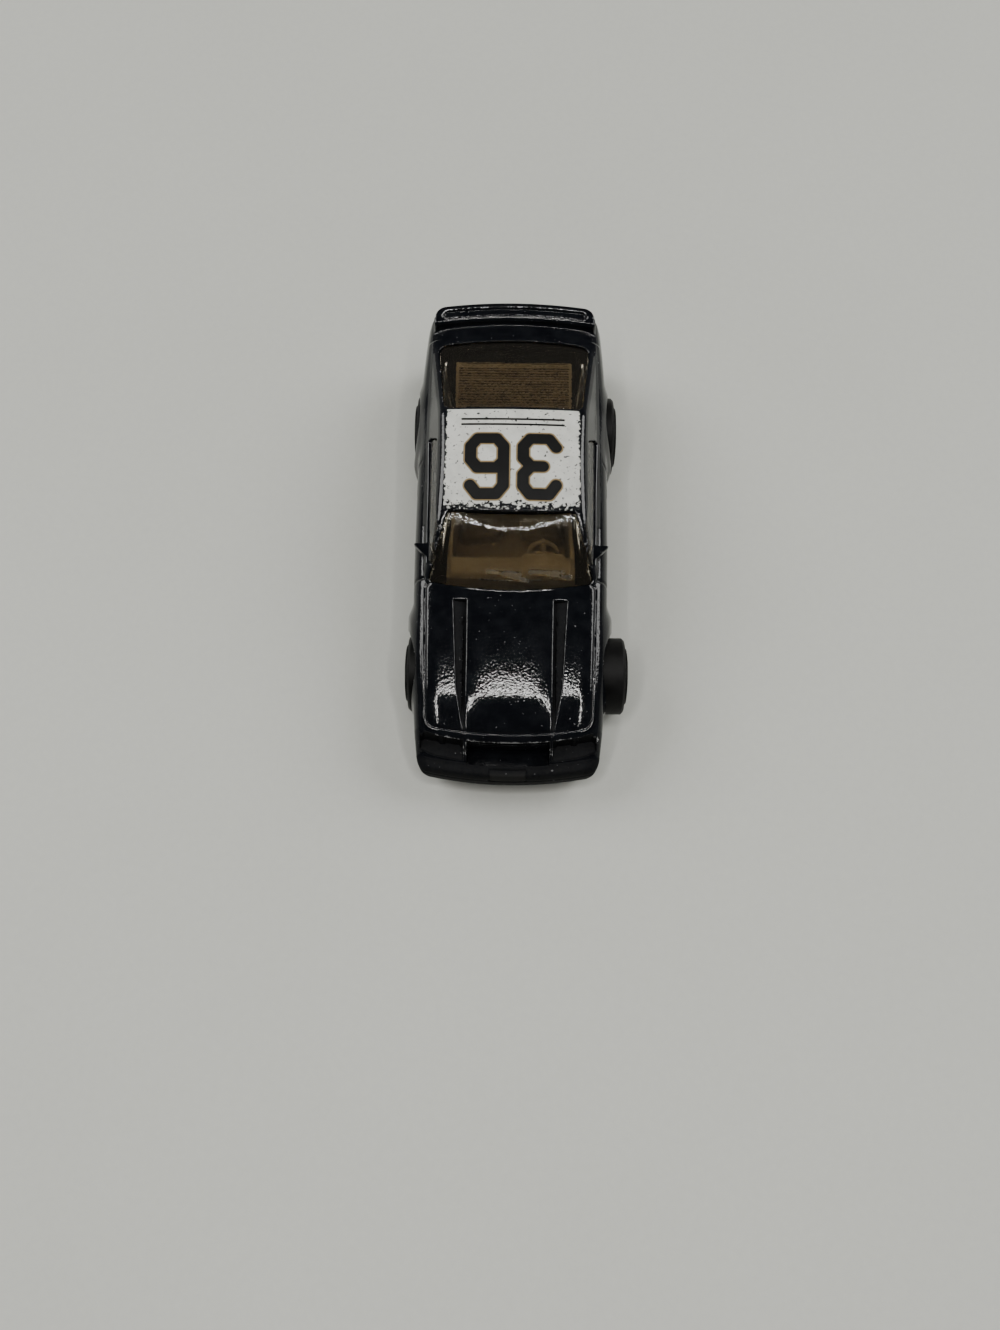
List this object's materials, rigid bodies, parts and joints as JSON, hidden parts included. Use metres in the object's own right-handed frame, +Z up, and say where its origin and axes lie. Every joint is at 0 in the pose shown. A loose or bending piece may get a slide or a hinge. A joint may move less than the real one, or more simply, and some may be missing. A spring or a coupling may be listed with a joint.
{
  "type": "toy police car",
  "caption": "Die-cast toy coupe in black with a white roof panel, smoked windows and loose axles, so that it rolls on spinning wheels.",
  "frame": {"origin": "middle of the base plate's flat underside, halfway along the body and on its centre plane; the floor is 2 mm below it", "axes": "+Z up, the nose points along -Y, +X towards the car's left side"},
  "size_m": [0.0324, 0.074, 0.02],
  "materials": {
    "body_paint": "gloss black enamel on zinc, worn to bare metal at the edges",
    "base_plastic": "satin moulded black plastic",
    "smoked_window": "clear brown-smoked polystyrene",
    "interior_plastic": "moulded brown plastic",
    "axle_steel": "drawn steel wire with headed ends",
    "wheel_plastic": "satin moulded black plastic"
  },
  "bodies": {
    "chassis": {"body_shell": "body_paint", "base_plate": "base_plastic", "window_insert": "smoked_window", "interior_tray": "interior_plastic"},
    "front_axle": {"front_axle": "axle_steel"},
    "rear_axle": {"rear_axle": "axle_steel"},
    "front_left_wheel": {"front_left_wheel": "wheel_plastic"},
    "front_right_wheel": {"front_right_wheel": "wheel_plastic"},
    "rear_left_wheel": {"rear_left_wheel": "wheel_plastic"},
    "rear_right_wheel": {"rear_right_wheel": "wheel_plastic"}
  },
  "joints": [
    {"name": "front_axle_slide", "type": "slide", "parent": "chassis", "child": "front_axle", "axis": [1, 0, 0], "range_m": [-0.00204, 0]},
    {"name": "rear_axle_slide", "type": "slide", "parent": "chassis", "child": "rear_axle", "axis": [1, 0, 0], "range_m": [-0.00081, 0.00009]},
    {"name": "front_left_wheel_spin", "type": "hinge", "parent": "front_axle", "child": "front_left_wheel", "pos_m": [0.01492, -0.0207, 0.00365], "axis": [1, 0, 0], "continuous": true},
    {"name": "front_right_wheel_spin", "type": "hinge", "parent": "front_axle", "child": "front_right_wheel", "pos_m": [-0.01288, -0.0207, 0.00365], "axis": [1, 0, 0], "continuous": true},
    {"name": "rear_left_wheel_spin", "type": "hinge", "parent": "rear_axle", "child": "rear_left_wheel", "pos_m": [0.01351, 0.0191, 0.0041], "axis": [1, 0, 0], "continuous": true},
    {"name": "rear_right_wheel_spin", "type": "hinge", "parent": "rear_axle", "child": "rear_right_wheel", "pos_m": [-0.01279, 0.0191, 0.0041], "axis": [1, 0, 0], "continuous": true}
  ]
}
